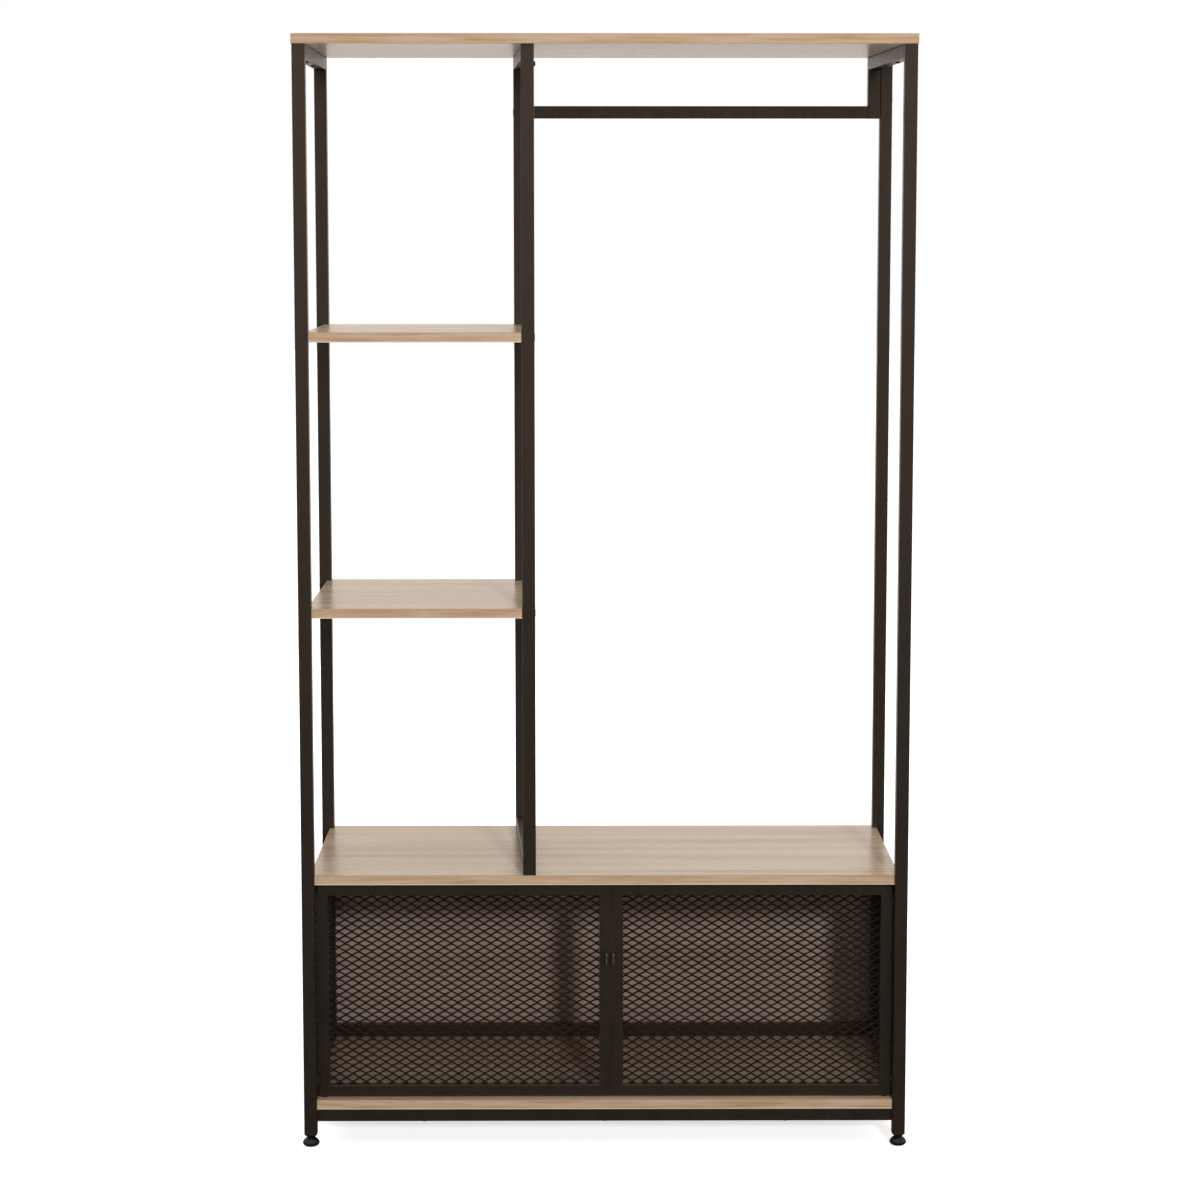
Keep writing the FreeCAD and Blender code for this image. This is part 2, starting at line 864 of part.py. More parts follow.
def pivot_bushes():
    bushes = []
    for start, direction in bush_places():
        back = direction * -1
        sleeve = rod(start, direction, bush_diameter, bush_length)
        flange = rod(start, back, bush_flange_diameter, bush_flange_thickness)
        bore_start = start + back * (bush_flange_thickness + overrun)
        bore_length = bush_length + bush_flange_thickness + 2 * overrun
        bore = rod(bore_start, direction, pivot_diameter + 2 * pivot_fit, bore_length)
        bushes.append(sleeve.fuse(flange).cut(bore).removeSplitter())
    return joined(bushes)


def pivot_pins(side_x):
    """A pin out of the top of the hinge stile and one out of its foot."""
    pins = []
    ends = ((door_top, under_bench, Z), (door_bottom, bottom_board_top, Z * -1))
    for door_end, board_face, direction in ends:
        gap = abs(board_face - door_end)
        start = at(pivot_x(side_x), pivot_y, door_end) - direction * pivot_in_tube
        length = pivot_in_tube + gap + pivot_in_bush
        pin = rod(start, direction, pivot_diameter, length)
        head_start = at(pivot_x(side_x), pivot_y, door_end)
        head_start = head_start - direction * (door_tube_wall + pivot_head_thickness)
        head = rod(head_start, direction, pivot_head_diameter, pivot_head_thickness)
        pins.append(pin.fuse(head).removeSplitter())
    return joined(pins)


def pivot_holes(side_x):
    holes = []
    for level in (door_top, door_bottom):
        start = at(pivot_x(side_x), pivot_y, level) - Z * (door_tube_wall + overrun)
        holes.append(rod(start, Z, pivot_diameter, 2 * (door_tube_wall + overrun)))
    return holes


def pull(middle):
    """A folded bracket on the free edge of a door: a plate with a tab standing out of it."""
    low = pull_height_above_floor - pull_base_height / 2
    fold = middle - pull_tab_thickness / 2
    plate_low = at(fold, door_front_y - pull_base_thickness, low)
    plate_high = at(fold + pull_base_width, door_front_y, low + pull_base_height)
    plate = block(plate_low, plate_high)
    tab_low = pull_height_above_floor - pull_tab_height / 2
    corner = at(middle - pull_tab_thickness / 2, door_front_y - pull_tab_reach, tab_low)
    outline = rounded_outline(corner, Y, Z, 2 * pull_tab_reach, pull_tab_height, pull_tab_round)
    blade = Part.Face(outline).extrude(X * pull_tab_thickness)
    front_half = block(
        corner - X * overrun, corner + at(
            pull_tab_thickness + overrun,
            pull_tab_reach - pull_base_thickness / 2,
            pull_tab_height,
        )
    )
    return plate.fuse(blade.common(front_half)).removeSplitter()


def strike(edge_x, inward):
    """The steel plate that the catch holds."""
    near = edge_x + inward * strike_from_edge
    far = near + inward * strike_width
    top = door_top - strike_from_top
    return block(
        at(min(near, far), door_back_y, top - strike_height),
        at(max(near, far), door_back_y + strike_thickness, top),
    )


def catch():
    """A double magnetic catch under the front of the bench, behind the meeting line."""
    front = door_back_y + strike_thickness + catch_gap
    corner = at(meeting_offset - catch_width / 2, front, under_bench - catch_height)
    outline = rounded_outline(corner, X, Y, catch_width, catch_depth, catch_corner)
    return Part.Face(outline).extrude(Z * catch_height)


def door(side, left, right):
    side_x = -1 if side == "left" else 1
    hinge_kind = "left" if side == "left" else "right"
    free_kind = "right" if side == "left" else "left"
    edge_x = right if side == "left" else left
    inward = -1 if side == "left" else 1
    from_edge = left_pull_from_edge if side == "left" else right_pull_from_edge
    holes = pivot_holes(side_x)
    return {
        side + "_door_hinge_stile": door_member(hinge_kind, left, right),
        side + "_door_meeting_stile": door_member(free_kind, left, right),
        side + "_door_top_rail": cut_where_met(door_member("top", left, right), holes),
        side + "_door_bottom_rail": cut_where_met(door_member("bottom", left, right), holes),
        side + "_door_mesh": door_mesh(left, right),
        side + "_door_pull": pull(edge_x + inward * from_edge),
        side + "_door_strike": strike(edge_x, inward),
        side + "_door_pivots": pivot_pins(side_x),
    }


# Feet

def foot_places():
    across = outer_x - tube / 2
    deep = outer_y - tube / 2
    return {
        "left_front_foot": at(-across, -deep, 0),
        "right_front_foot": at(across, -deep, 0),
        "left_rear_foot": at(-across, deep, 0),
        "right_rear_foot": at(across, deep, 0),
    }


def levelling_foot(place):
    """A moulded pad with a hexagon neck on a threaded stud."""
    rim = rod(place, Z, pad_diameter, pad_rim_height)
    cone = Part.makeCone(
        pad_diameter / 2, pad_top_diameter / 2, pad_height - pad_rim_height,
        place + Z * pad_rim_height, Z,
    )
    neck = hexagon(place + Z * pad_height, Z, neck_across_flats, neck_height)
    stud = rod(place + Z * pad_height, Z, stud_diameter, stud_length)
    return rim.fuse([cone, neck, stud]).removeSplitter()


def post_plugs():
    """Plugs in the feet of the four outer posts, with the thread for the levelling feet."""
    plugs = []
    side = tube - 2 * tube_wall - 2 * plug_fit
    for place in foot_places().values():
        low = place + Z * foot_height
        corner = low - X * (tube / 2) - Y * (tube / 2)
        outline = rounded_outline(corner, X, Y, tube, tube, tube_corner)
        flange = Part.Face(outline).extrude(Z * plug_flange)
        inside = low + Z * plug_flange - X * (side / 2) - Y * (side / 2)
        body_outline = rounded_outline(inside, X, Y, side, side, tube_inner_corner)
        body = Part.Face(body_outline).extrude(Z * plug_length)
        bore = rod(low - Z * overrun, Z, stud_diameter + 2 * stud_fit,
                   plug_flange + plug_length + 2 * overrun)
        mouth = Part.makeCone(
            stud_diameter / 2 + stud_fit + plug_flange_chamfer, stud_diameter / 2 + stud_fit,
            plug_flange_chamfer, low, Z,
        )
        plugs.append(flange.fuse(body).cut([bore, mouth]).removeSplitter())
    return joined(plugs)


def fasteners():
    through_posts = (
        shelf_bolt_places() + full_board_bolt_places() + rail_bolt_places()
        + drop_leg_bolt_places()
    )
    bolts = [
        bolt(face + along * (tube - tube_wall), along, post_bolt_length)
        for face, along in through_posts
    ]
    bolts += [
        bolt(seat, along, foot_bolt_length) for seat, along in divider_foot_bolt_places()
    ]
    joint_seat, joint_along = joint_screw_place()
    screws = [
        screw(seat, along, screw_length)
        for seat, along in top_screw_places() + front_rail_screw_places()
    ]
    return {
        "frame_bolts": joined(bolts),
        "hole_caps": joined([hole_cap(face, along) for face, along in through_posts]),
        "insert_nuts": joined([insert(start, along) for start, along in insert_places()]),
        "board_screws": joined(screws + [screw(joint_seat, joint_along, joint_screw_length)]),
        "panel_screws": joined([
            countersunk(seat, along, 0) for seat, along in panel_screw_places()
        ]),
    }


def all_pieces():
    pieces = {}
    pieces.update(posts())
    pieces.update(top_rails())
    pieces.update(lower_rails())
    pieces.update(hanging_bar())
    pieces.update(boards())
    pieces.update(top_board())
    pieces["back_panel"] = back_panel()
    pieces["left_seat_strip"] = seat_strip(-1)
    pieces["right_seat_strip"] = seat_strip(1)
    pieces["left_side_mesh"] = side_mesh(-1)
    pieces["right_side_mesh"] = side_mesh(1)
    pieces.update(door("left", left_door_x, left_door_edge))
    pieces.update(door("right", right_door_edge, right_door_x))
    pieces["pivot_bushes"] = pivot_bushes()
    pieces["magnetic_catch"] = catch()
    pieces["rail_end_plugs"] = rail_end_plugs()
    pieces["post_plugs"] = post_plugs()
    for name, place in foot_places().items():
        pieces[name] = levelling_foot(place)
    pieces.update(fasteners())
    return pieces


os.makedirs("parts", exist_ok=True)
for node, shape in all_pieces().items():
    shape.exportStep("parts/" + node + ".step")
    print(node, "solids", len(shape.Solids), "volume", round(shape.Volume), shape.isValid())
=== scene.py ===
import bpy
import json
import math
import numpy as np
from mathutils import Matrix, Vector


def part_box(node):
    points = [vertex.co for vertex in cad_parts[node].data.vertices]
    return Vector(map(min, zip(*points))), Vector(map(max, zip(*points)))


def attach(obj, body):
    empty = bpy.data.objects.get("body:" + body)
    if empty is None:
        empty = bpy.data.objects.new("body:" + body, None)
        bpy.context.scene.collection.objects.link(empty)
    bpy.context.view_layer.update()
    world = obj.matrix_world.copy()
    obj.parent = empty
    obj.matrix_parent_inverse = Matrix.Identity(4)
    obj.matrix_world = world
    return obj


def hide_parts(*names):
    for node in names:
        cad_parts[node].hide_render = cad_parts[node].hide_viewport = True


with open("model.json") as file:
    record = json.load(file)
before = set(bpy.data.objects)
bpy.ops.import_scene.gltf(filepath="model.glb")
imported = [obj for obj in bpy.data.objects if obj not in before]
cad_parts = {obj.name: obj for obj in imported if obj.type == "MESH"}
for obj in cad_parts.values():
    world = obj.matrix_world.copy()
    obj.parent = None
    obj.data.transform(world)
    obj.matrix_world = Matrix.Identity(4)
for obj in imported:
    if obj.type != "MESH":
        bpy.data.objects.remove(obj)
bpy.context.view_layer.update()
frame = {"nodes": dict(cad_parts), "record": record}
nodes = frame["nodes"]

MM = 0.001

# Expanded metal of the doors and the sides
cell_width = 22.4 * MM       # the long way of a diamond
cell_height = 13.6 * MM
strand_width = 3.1 * MM
strand_thickness = 1.2 * MM
strand_tilt = math.radians(42)
bond_share = 0.16            # the flat part of a strand at each bond, of half a diamond
bond_lap = 0.30              # how far two strands lap at a bond, of a strand's width

# Arrises of the edge bands: a darker line at the top and a painted highlight at the foot
arris_width = 1.4 * MM
top_arris = (0.46, 0.30, 0.185)
# painted highlight along the foot of each edge band
foot_arris_highlight = (0.80, 0.66, 0.50)
boards = ("top_board", "upper_shelf", "middle_shelf", "bench_board", "bottom_board")

# Door pulls, with a painted highlight on their blades
pull_plate_depth = 1.4 * MM
# painted highlight: the pale colour of the pulls' blades
blade_highlight_tone = (0.060, 0.052, 0.045)

# Levelling feet, the tapered ends of their plugs and the dark strip that stands in for the shade
# between the doors
pad_foot_radius = 5.0 * MM   # the ring that stands on the floor
pad_radius = 14.0 * MM
pad_widest_level = 6.3 * MM
pad_slope = 1.35             # 1 is a round shoulder, 2 a straight one
neck_radius = 5.5 * MM
neck_level = 15.0 * MM
stud_radius = 4.0 * MM
taper_top_half = 10.3 * MM   # half the side of the square under the tube
taper_top_level = 21.0 * MM
strip_thickness = 1.0 * MM
strip_setback = 0.4 * MM     # behind the front faces of the doors
strip_end_gap = 2.0 * MM
ring_points = 48
outline_points = 12
taper_rings = 9
taper_squareness = 9.0       # at the tube; a circle has 2
circle = 2.0
sharp_past = math.radians(35)

# Camera, fitted to the corners of the unit in the photograph
camera_x = -0.0333
camera_y = -4.7707
camera_z = 1.5238
camera_pitch = math.radians(6.491)
camera_yaw = math.radians(-0.318)
camera_lens = 85.083
camera_sensor = 36.0
camera_shift_y = -0.044

# Light
white = (1.0, 1.0, 1.0)
room_light = 0.045           # the level all round, as rough surfaces see it
overhead_light = 1.24
mirrored_back = 1.08         # the same room as glossy surfaces see it
mirrored_front = 1.6
mirrored_overhead = 2.5
mirrored_tint = (1.0, 0.92, 0.84)
ceiling_span = (0.5, 0.92)   # heights of a direction, where the ceiling starts and is full
mirrored_ceiling_span = (0.5, 0.8)
front_to_back = (-0.3, 0.3)  # of a direction, from the mirrored front to the mirrored back
aim = (0.0, 0.0, 0.9)        # what both lamps look at
key_place = (1.45, -6.9, 2.72)
key_power = 334.0
key_width = 0.50
key_height = 0.60
rear_place = (-1.4, 5.0, 2.0)
rear_power = 80.0
rear_size = 0.9

# Floor
floor_half = 30.0
floor_glow = 0.68            # what the camera sees of the paper beside the light on it
floor_shade = 0.36           # how much light it throws back on the unit
mirrored_front_floor = 0.05  # the same floor as glossy surfaces see it
floor_turns_pale = (-0.3, 1.2)
paper_dark = (0.90, 0.90, 0.90)
paper_light = (0.92, 0.92, 0.92)
paper_roughness = 0.9
paper_specular = 0.1
paper_grain = (300.0, 300.0, 300.0)

# Grain of the materials, with scales in features per metre along X, Y and Z
noise_span = (0.3, 0.7)      # where nearly all of a noise lies
coat_tint = (1.0, 0.79, 0.65)
coat_clouds = (7.0, 7.0, 5.0)
coat_patches = (45.0, 45.0, 30.0)
coat_relief = 0.18           # strength of the orange peel
coat_depth = 0.12 * MM
streak_places = (0.28, 0.45, 0.62, 0.80)
streak_stretch = 24          # how much longer a streak is than it is wide
fibre_scale = (5.0, 240.0, 240.0)
fibre_span = (0.30, 0.66)
fibre_dark = (0.80, 0.77, 0.74)
fibre_share = 0.75
fibre_relief = 0.12
fibre_depth = 0.10 * MM
pore_scale = (38.0, 1100.0, 1100.0)
pore_span = (0.30, 0.40)
pore_dark = (0.62, 0.55, 0.48)
pore_share = 0.55
plastic_clouds = (60.0, 60.0, 60.0)
plastic_grain = (2200.0, 2200.0, 2200.0)
plastic_relief = 0.15
plastic_depth = 0.08 * MM
steel_lines = (900.0, 900.0, 60.0)
darker_share = 0.8           # the darker clouds of plastic and steel


def new_material(name):
    """A material that holds one Principled shader, linked to its output."""
    made = bpy.data.materials.new(name)
    made.use_nodes = True
    tree = made.node_tree
    tree.nodes.clear()
    output = tree.nodes.new("ShaderNodeOutputMaterial")
    shader = tree.nodes.new("ShaderNodeBsdfPrincipled")
    tree.links.new(shader.outputs["BSDF"], output.inputs["Surface"])
    return made, tree, shader


def object_space(tree, scale):
    """Object coordinates in metres, multiplied by a number of features per metre on each axis."""
    coords = tree.nodes.new("ShaderNodeTexCoord")
    mapping = tree.nodes.new("ShaderNodeMapping")
    mapping.inputs["Scale"].default_value = scale
    tree.links.new(coords.outputs["Object"], mapping.inputs["Vector"])
    return mapping.outputs["Vector"]


def object_part(tree, axis):
    """One object coordinate, in metres."""
    coords = tree.nodes.new("ShaderNodeTexCoord")
    parts = tree.nodes.new("ShaderNodeSeparateXYZ")
    tree.links.new(coords.outputs["Object"], parts.inputs["Vector"])
    return parts.outputs[axis]


def noise(tree, vector, detail=2.0, roughness=0.5, distortion=0.0):
    """Even noise from 0 to 1 over the given coordinates."""
    made = tree.nodes.new("ShaderNodeTexNoise")
    made.inputs["Scale"].default_value = 1.0
    made.inputs["Detail"].default_value = detail
    made.inputs["Roughness"].default_value = roughness
    made.inputs["Distortion"].default_value = distortion
    tree.links.new(vector, made.inputs["Vector"])
    return made.outputs["Fac"]


def ramp(tree, value, places, colours):
    """Turns a value into colours, each full at its place from 0 to 1."""
    made = tree.nodes.new("ShaderNodeValToRGB")
    band = made.color_ramp
    while len(band.elements) < len(places):
        band.elements.new(1.0)
    for element, place, colour in zip(band.elements, places, colours):
        element.position = place
        element.color = (*colour, 1.0)
    tree.links.new(value, made.inputs["Fac"])
    return made.outputs["Color"]


def remap(tree, value, low, high, span=noise_span, eased=False):
    """Stretches a value from the span to low and high, and holds it at the ends."""
    made = tree.nodes.new("ShaderNodeMapRange")
    if eased:
        made.interpolation_type = "SMOOTHSTEP"
    made.inputs["From Min"].default_value = span[0]
    made.inputs["From Max"].default_value = span[1]
    made.inputs["To Min"].default_value = low
    made.inputs["To Max"].default_value = high
    tree.links.new(value, made.inputs["Value"])
    return made.outputs["Result"]


def mixed(tree, first, second, share, blend="MULTIPLY"):
    """Blends the second colour into the first, by a number or by a value of the tree.

    A colour is a plain one or an output of the tree.
    """
    made = tree.nodes.new("ShaderNodeMix")
    made.data_type = "RGBA"
    made.blend_type = blend
    colours = [one for one in made.inputs if one.type == "RGBA"]
    results = [one for one in made.outputs if one.type == "RGBA"]
    if isinstance(share, float):
        made.inputs["Factor"].default_value = share
    else:
        tree.links.new(share, made.inputs["Factor"])
    for socket, colour in zip(colours, (first, second)):
        if isinstance(colour, tuple):
            socket.default_value = (*colour, 1.0)
        else:
            tree.links.new(colour, socket)
    return results[0]


def where(tree, operation, value, *numbers):
    """1 where a value passes a comparison with the numbers, and 0 elsewhere."""
    made = tree.nodes.new("ShaderNodeMath")
    made.operation = operation
    tree.links.new(value, made.inputs[0])
    for socket, number in zip(made.inputs[1:], numbers):
        socket.default_value = number
    return made.outputs["Value"]


def either(tree, share, first, second):
    """The first shader where the share is 0, and the second where it is 1."""
    made = tree.nodes.new("ShaderNodeMixShader")
    tree.links.new(share, made.inputs["Fac"])
    tree.links.new(first, made.inputs[1])
    tree.links.new(second, made.inputs[2])
    return made.outputs["Shader"]


def bumped(tree, shader, height, strength, distance):
    """Gives the shader a fine relief of the given depth in metres."""
    made = tree.nodes.new("ShaderNodeBump")
    made.inputs["Strength"].default_value = strength
    made.inputs["Distance"].default_value = distance
    tree.links.new(height, made.inputs["Height"])
    tree.links.new(made.outputs["Normal"], shader.inputs["Normal"])


def coat_material(name, dark, light, smooth, rough, grain, specular, painted_highlight=None):
    """Powder coat: fine orange peel, with a little unevenness in colour and gloss, and a painted
    highlight where one is given.
    """
    made, tree, shader = new_material(name)
    broad = noise(tree, object_space(tree, coat_clouds), detail=3.0, roughness=0.6)
    coloured = ramp(tree, broad, noise_span, (dark, light))
    if painted_highlight:
        coloured = painted_highlight(tree, coloured)
    tree.links.new(coloured, shader.inputs["Base Color"])
    patches = noise(tree, object_space(tree, coat_patches), detail=3.0, roughness=0.6)
    tree.links.new(remap(tree, patches, smooth, rough), shader.inputs["Roughness"])
    peel = noise(tree, object_space(tree, (grain, grain, grain)))
    bumped(tree, shader, peel, coat_relief, coat_depth)
    shader.inputs["Specular IOR Level"].default_value = specular
    shader.inputs["Specular Tint"].default_value = (*coat_tint, 1.0)
    return made


def painted_blade_highlight(tree, coloured):
    """Painted highlight: a paler colour on a pull's blade, which stands out in front of its plate."""
    plate_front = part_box("left_door_pull")[1].y - pull_plate_depth
    ahead = where(tree, "LESS_THAN", object_part(tree, "Y"), plate_front)
    return mixed(tree, coloured, blade_highlight_tone, ahead, "MIX")


def arrises(tree, coloured):
    """Draws a thin darker line on the top arris of each edge band and a painted highlight, a paler
    line, at its foot; the top board gets a darker line at its foot too.
    """
    height = object_part(tree, "Z")

    def line(level, colour, base):
        near = where(tree, "COMPARE", height, level, arris_width / 2)
        return mixed(tree, base, colour, near, "MIX")

    for board in boards:
        low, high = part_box(board)
        coloured = line(high.z - arris_width / 2, top_arris, coloured)
        lower = top_arris if board == "top_board" else foot_arris_highlight
        coloured = line(low.z + arris_width / 2, lower, coloured)
    return coloured


def wood_material(name, pale, middle, deep, smooth, rough, streaks=26.0, banded=False):
    """Oak laminate: long soft streaks, fine fibres and short dark pores that run along X."""
    made, tree, shader = new_material(name)
    run = object_space(tree, (streaks / streak_stretch, streaks, streaks))
    waves = noise(tree, run, detail=3.0, roughness=0.55, distortion=0.35)
    base = ramp(tree, waves, streak_places, (deep, middle, pale, middle))
    fibres = noise(tree, object_space(tree, fibre_scale), detail=4.0, roughness=0.65)
    fibre_tone = ramp(tree, fibres, fibre_span, (fibre_dark, white))
    pores = noise(tree, object_space(tree, pore_scale))
    pore_tone = ramp(tree, pores, pore_span, (pore_dark, white))
    coloured = mixed(tree, base, fibre_tone, fibre_share)
    coloured = mixed(tree, coloured, pore_tone, pore_share)
    if banded:
        coloured = arrises(tree, coloured)
    tree.links.new(coloured, shader.inputs["Base Color"])
    tree.links.new(remap(tree, fibres, smooth, rough), shader.inputs["Roughness"])
    bumped(tree, shader, fibres, fibre_relief, fibre_depth)
    return made


def clouded(tree, value, colour):
    """A colour that gets a little darker where the value is low."""
    darker = tuple(channel * darker_share for channel in colour)
    return ramp(tree, value, noise_span, (darker, colour))


def plastic_material(name, colour, roughness, specular=0.5):
    """Moulded plastic with a fine even grain."""
    made, tree, shader = new_material(name)
    broad = noise(tree, object_space(tree, plastic_clouds))
    tree.links.new(clouded(tree, broad, colour), shader.inputs["Base Color"])
    grain = noise(tree, object_space(tree, plastic_grain), detail=1.0)
    bumped(tree, shader, grain, plastic_relief, plastic_depth)
    shader.inputs["Roughness"].default_value = roughness
    shader.inputs["Specular IOR Level"].default_value = specular
    return made


def steel_material(name, colour, smooth, rough):
    """Bare plated metal with fine drawn lines."""
    made, tree, shader = new_material(name)
    lines = noise(tree, object_space(tree, steel_lines))
    tree.links.new(clouded(tree, lines, colour), shader.inputs["Base Color"])
    tree.links.new(remap(tree, lines, smooth, rough), shader.inputs["Roughness"])
    shader.inputs["Metallic"].default_value = 1.0
    return made


frame_look = {
    "dark": (0.0074, 0.0057, 0.0046),
    "light": (0.0104, 0.0080, 0.0065),
    "smooth": 0.36,
    "rough": 0.46,
    "grain": 900.0,
    "specular": 0.56,
}

looks = {
    "frame_coat": coat_material("frame_coat", **frame_look),
    "mesh_coat": coat_material(
        "mesh_coat",
        dark=(0.0048, 0.0036, 0.0029), light=(0.0066, 0.0050, 0.0041),
        smooth=0.45, rough=0.55, grain=900.0, specular=0.16,
    ),
    "laminated_board": wood_material(
        "laminated_board",
        pale=(0.60, 0.462, 0.33), middle=(0.51, 0.383, 0.263), deep=(0.395, 0.282, 0.182),
        smooth=0.22, rough=0.32,
    ),
    "edge_band": wood_material(
        "edge_band",
        pale=(0.61, 0.45, 0.31), middle=(0.54, 0.36, 0.225), deep=(0.43, 0.255, 0.145),
        smooth=0.36, rough=0.48, streaks=150.0, banded=True,
    ),
    "back_board": wood_material(
        "back_board",
        pale=(0.56, 0.44, 0.36), middle=(0.51, 0.39, 0.32), deep=(0.43, 0.32, 0.255),
        smooth=0.5, rough=0.6,
    ),
    "foot_plastic": plastic_material(
        "foot_plastic", colour=(0.0065, 0.006, 0.0055), roughness=0.40, specular=0.2,
    ),
    "black_plastic": plastic_material("black_plastic", colour=(0.008, 0.0075, 0.007), roughness=0.5),
    "insert_brass": steel_material("insert_brass", colour=(0.72, 0.55, 0.28), smooth=0.25, rough=0.38),
    "fastener_coat": coat_material(
        "fastener_coat",
        dark=(0.010, 0.009, 0.008), light=(0.016, 0.014, 0.013),
        smooth=0.30, rough=0.42, grain=700.0, specular=0.5,
    ),
    "bare_steel": steel_material("bare_steel", colour=(0.58, 0.58, 0.57), smooth=0.25, rough=0.40),
    # the pulls' coat, with a painted highlight on their blades
    "pull_coat": coat_material("pull_coat", **frame_look, painted_highlight=painted_blade_highlight),
}


def dress(piece, slot):
    """Gives a piece the one material of its slot."""
    piece.data.materials.clear()
    piece.data.materials.append(looks[slot])


for entry in frame["record"]["subparts"]:
    dress(nodes[entry["node"]], entry["material_slot"])
dress(nodes["left_door_pull"], "pull_coat")
dress(nodes["right_door_pull"], "pull_coat")


def mesh_piece(name, verts, faces, slot, body, *replaced):
    """Makes a piece from arrays, dresses it and lets it ride on its body.

    It stands in for the replaced nodes, if any.
    """
    data = bpy.data.meshes.new(name)
    data.from_pydata(verts.tolist(), [], faces.tolist())
    data.update()
    piece = bpy.data.objects.new(name, data)
    bpy.context.scene.collection.objects.link(piece)
    dress(piece, slot)
    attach(piece, body)
    if replaced:
        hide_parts(*replaced)
    return piece


def strand_path(columns, pitch, flat):
    """One zigzag strand as places along its run and heights from -1 to 1.

    It stays level for the flat length at each bond and runs straight from bond to bond.
    """
    along = [0.0]
    height = [1.0]
    half = pitch / 2
    for step in range(2 * columns):
        side = 1.0 if step % 2 == 0 else -1.0
        start = step * half
        along += [start + flat, start + half - flat]
        height += [side, -side]
    along.append(columns * pitch)
    height.append(1.0)
    return np.array(along), np.array(height)


def expanded_metal(name, node, body, across, normal):
    """A sheet of expanded metal that fills the box of its CAD node.

    Each strand is a zigzag with a slanting rectangular section. Strands with opposite
    phase meet at the bonds and leave diamonds between them.
    """
    low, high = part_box(node)
    width = high[across] - low[across]
    height = high.z - low.z
    columns = round(width / cell_width)
    pitch = width / columns
    flat = bond_share * pitch / 4
    margin = cell_height / 4 + strand_width / 2
    rows = round((height - 2 * margin) / (cell_height / 2))
    rise = (height - 2 * margin) / rows
    swing = rise / 2 - bond_lap * strand_width
    along, zigzag = strand_path(columns, pitch, flat)
    middle = (low[normal] + high[normal]) / 2
    cosine, sine = math.cos(strand_tilt), math.sin(strand_tilt)
    half_w, half_t = strand_width / 2, strand_thickness / 2
    section = np.array([
        (sv * half_w * cosine - sn * half_t * sine, sv * half_w * sine + sn * half_t * cosine)
        for sv, sn in ((-1, -1), (1, -1), (1, 1), (-1, 1))
    ])
    count = len(along)
    all_verts, all_faces = [], []
    base = 0
    for row in range(rows + 1):
        phase = 1.0 if row % 2 == 0 else -1.0
        centre = low.z + margin + row * rise + phase * swing * zigzag
        verts = np.zeros((count, 4, 3))
        verts[:, :, across] = (low[across] + along)[:, None]
        verts[:, :, 2] = centre[:, None] + section[None, :, 0]
        verts[:, :, normal] = middle + section[None, :, 1]
        index = base + np.arange(count * 4).reshape(count, 4)
        here, there = index[:-1], index[1:]
        quads = [
            np.stack([here[:, k], there[:, k], there[:, (k + 1) % 4], here[:, (k + 1) % 4]], 1)
            for k in range(4)
        ]
        ends = np.array([index[0, ::-1], index[-1]])
        block = np.concatenate(quads + [ends])
        all_verts.append(verts.reshape(-1, 3))
        all_faces.append(block)
        base += count * 4
    faces = np.concatenate(all_faces)
    if across == 0:
        faces = faces[:, ::-1]
    return mesh_piece(name, np.concatenate(all_verts), faces, "mesh_coat", body, node)


expanded_metal("left_door_expanded_mesh", "left_door_mesh", "left_door", 0, 1)
expanded_metal("right_door_expanded_mesh", "right_door_mesh", "right_door", 0, 1)
expanded_metal("left_side_expanded_mesh", "left_side_mesh", "frame", 1, 0)
expanded_metal("right_side_expanded_mesh", "right_side_mesh", "frame", 1, 0)


def closed_skin(rings):
    """Vertices and triangles of a skin over a row of rings, with a fan that closes each end.

    The sum of a . (b x c) over the triangles is six times the volume, and where it is
    negative the triangles are turned over, so that they face outwards.
    """
    count, around = rings.shape[:2]
    index = np.arange(count * around).reshape(count, around)
    onward = np.roll(index, -1, axis=1)
    a, b, c, d = index[:-1], onward[:-1], onward[1:], index[1:]
    first = np.full(around, count * around)
    faces = np.concatenate([
        np.stack([a, b, c], -1).reshape(-1, 3),
        np.stack([a, c, d], -1).reshape(-1, 3),
        np.stack([onward[0], index[0], first], -1),
        np.stack([index[-1], onward[-1], first + 1], -1),
    ])
    verts = np.concatenate([rings.reshape(-1, 3), rings[:1].mean(1), rings[-1:].mean(1)])
    corners = verts[faces]
    volume = np.sum(corners[:, 0] * np.cross(corners[:, 1], corners[:, 2]))
    return verts, faces if volume > 0 else faces[:, ::-1]


def smooth(piece):
    """Shades a piece smooth, apart from its sharp edges."""
    piece.data.shade_smooth()
    piece.data.set_sharp_from_angle(angle=sharp_past)


def level_rings(centre_x, centre_y, halves, levels, squareness):
    """Rings about a vertical axis, one for each level.

    At the angle t a ring's radius is h / (|cos t|^n + |sin t|^n)^(1/n), a circle where n
    is 2 and nearly a square of half side h where n is large.
    """
    turn = np.linspace(0, 2 * np.pi, ring_points, endpoint=False)
    power = squareness[:, None]
    shape = (np.abs(np.cos(turn)) ** power + np.abs(np.sin(turn)) ** power) ** (-1 / power)
    radius = halves[:, None] * shape
    rings = np.zeros((len(levels), ring_points, 3))
    rings[:, :, 0] = centre_x + radius * np.cos(turn)
    rings[:, :, 1] = centre_y + radius * np.sin(turn)
    rings[:, :, 2] = levels[:, None]
    return rings


